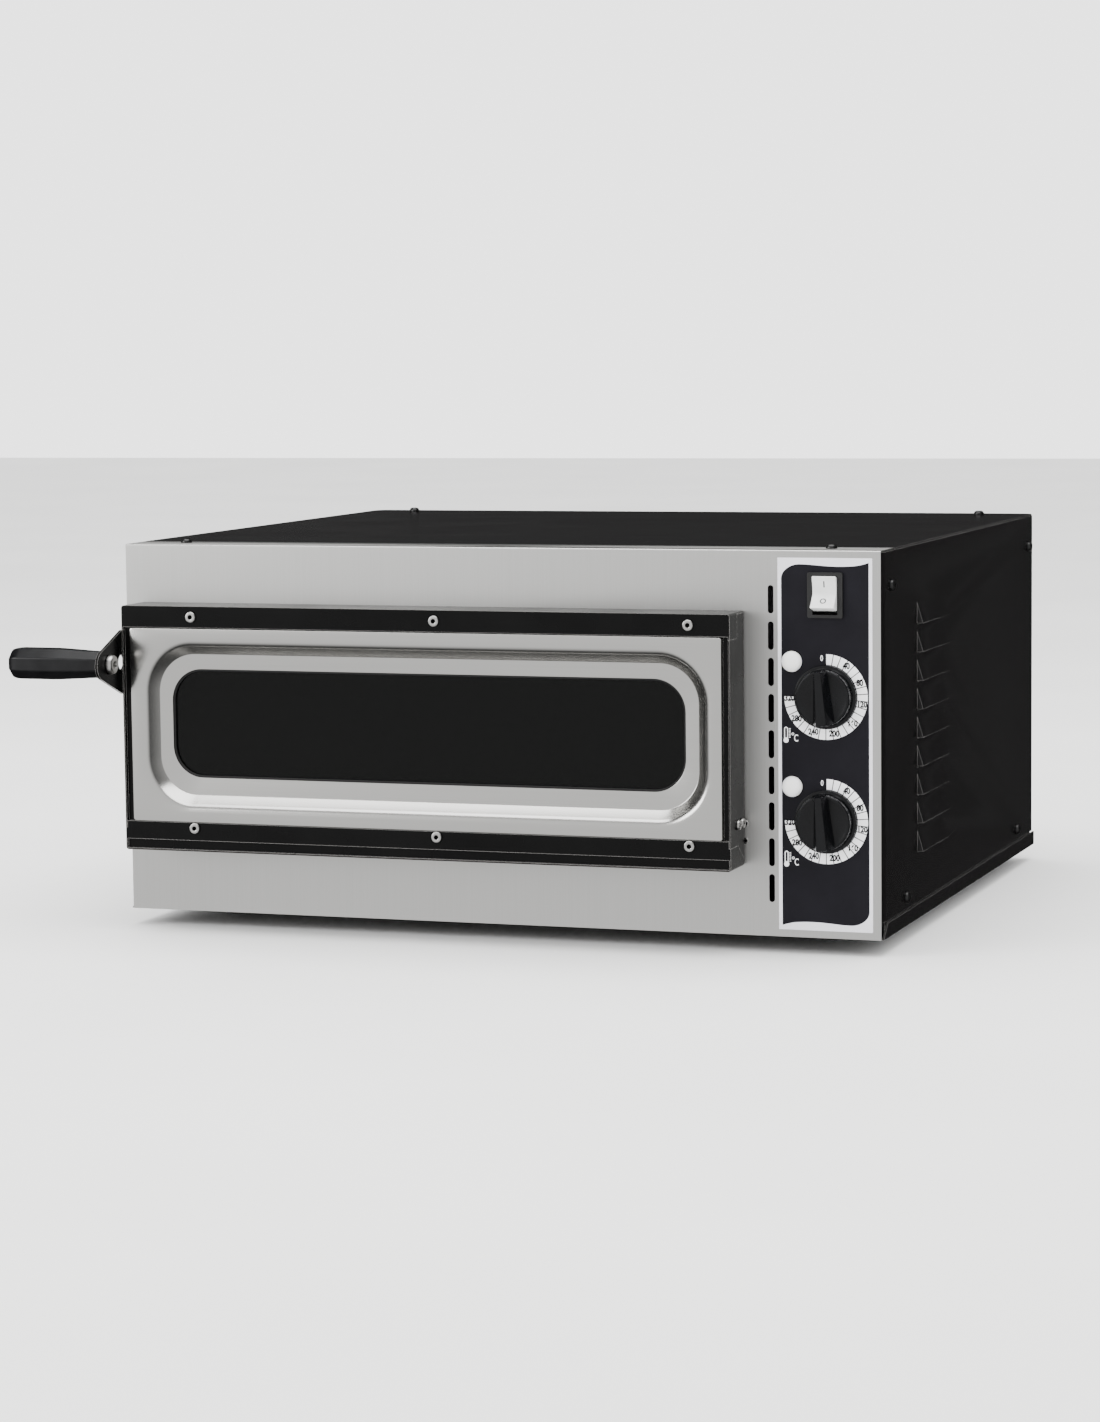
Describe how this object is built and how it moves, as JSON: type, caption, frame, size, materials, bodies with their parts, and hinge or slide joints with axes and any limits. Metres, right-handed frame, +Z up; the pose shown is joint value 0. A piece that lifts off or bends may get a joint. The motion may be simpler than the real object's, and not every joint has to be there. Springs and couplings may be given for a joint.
{
  "type": "countertop pizza oven",
  "caption": "Countertop electric pizza oven: stainless front, black casing, bottom-hinged glazed door with side handle, stone deck, two thermostat dials and a switch.",
  "frame": {"origin": "centre of the casing's footprint, on the surface that the feet stand on", "axes": "+X to the oven's right, -Y out of the door side, +Z up"},
  "size_m": [0.6355, 0.5933, 0.2832],
  "materials": {
    "black_paint": "black gloss stoving enamel over steel sheet",
    "brushed_stainless": "stainless sheet, brushed vertically",
    "pressed_stainless": "satin pressed stainless sheet",
    "aluminised_steel": "matt aluminised steel sheet",
    "zinc_steel": "zinc plated steel",
    "screw_steel": "bright stainless screws",
    "black_screw": "black coated steel screws",
    "refractory": "cast refractory stone",
    "element_sheath": "oxidised alloy sheath",
    "mineral_wool": "mineral wool slab",
    "glass_fibre": "woven glass-fibre tape",
    "oven_glass": "dark toughened glass",
    "silicone": "black silicone gasket",
    "foot_rubber": "black moulded rubber",
    "label_film": "printed polycarbonate overlay with a pale border and dial scales",
    "knob_plastic": "black phenolic moulding",
    "grip_plastic": "black phenolic grip",
    "housing_plastic": "black nylon housing",
    "rocker_plastic": "white translucent rocker",
    "lens_plastic": "opal lamp lens",
    "pale_plastic": "cream moulded plastic",
    "spindle_steel": "plated steel spindle",
    "copper": "copper capillary and bulb"
  },
  "bodies": {
    "body": {"base_tray": "black_paint", "side_panel_left": "black_paint", "side_panel_right": "black_paint", "top_panel": "black_paint", "rear_panel": "black_paint", "front_panel": "brushed_stainless", "control_label": "label_film", "rubber_feet": "foot_rubber", "foot_screws": "screw_steel", "chamber_liner": "aluminised_steel", "chamber_insulation": "mineral_wool", "baking_stone": "refractory", "stone_supports": "aluminised_steel", "heating_element_upper": "element_sheath", "heating_element_lower": "element_sheath", "element_clips": "aluminised_steel", "bulkhead": "aluminised_steel", "thermostat_upper": "pale_plastic", "thermostat_lower": "pale_plastic", "thermostat_bulb_upper": "copper", "thermostat_bulb_lower": "copper", "lamp_lens_upper": "lens_plastic", "lamp_lens_lower": "lens_plastic", "lamp_body_upper": "pale_plastic", "lamp_body_lower": "pale_plastic", "switch_housing": "housing_plastic", "terminal_block": "pale_plastic", "cable_gland": "housing_plastic", "hinge_bracket_left": "zinc_steel", "hinge_bracket_right": "zinc_steel", "bracket_screws": "screw_steel", "top_screws": "black_screw", "side_screws": "black_screw", "rear_screws": "black_screw"},
    "door": {"door_top_channel": "black_paint", "door_bottom_channel": "black_paint", "door_side_left": "black_paint", "door_side_right": "black_paint", "door_window_frame": "pressed_stainless", "glass_gasket": "silicone", "door_glass": "oven_glass", "door_inner_panel": "brushed_stainless", "door_seal": "glass_fibre", "door_insulation": "mineral_wool", "door_face_screws": "screw_steel", "window_frame_screws": "screw_steel", "hinge_arm_left": "zinc_steel", "hinge_arm_right": "zinc_steel", "hinge_pin_left": "spindle_steel", "hinge_pin_right": "spindle_steel", "hinge_screws": "screw_steel", "handle_plate": "black_paint", "handle_grip": "grip_plastic", "handle_screw": "screw_steel", "handle_plate_screws": "screw_steel"},
    "upper_dial": {"knob_upper": "knob_plastic", "thermostat_shaft_upper": "spindle_steel"},
    "lower_dial": {"knob_lower": "knob_plastic", "thermostat_shaft_lower": "spindle_steel"},
    "switch": {"switch_rocker": "rocker_plastic"}
  },
  "joints": [
    {"name": "door_hinge", "type": "hinge", "parent": "body", "child": "door", "pos_m": [-0.042, -0.276, 0.068], "axis": [1, 0, 0], "range_deg": [0, 90]},
    {"name": "upper_dial_turn", "type": "hinge", "parent": "body", "child": "upper_dial", "pos_m": [0.244, -0.25, 0.1794], "axis": [0, 1, 0], "range_deg": [0, 270]},
    {"name": "lower_dial_turn", "type": "hinge", "parent": "body", "child": "lower_dial", "pos_m": [0.244, -0.25, 0.0933], "axis": [0, 1, 0], "range_deg": [0, 270]},
    {"name": "switch_rock", "type": "hinge", "parent": "body", "child": "switch", "pos_m": [0.244, -0.249, 0.2494], "axis": [1, 0, 0], "range_deg": [0, 30]}
  ]
}
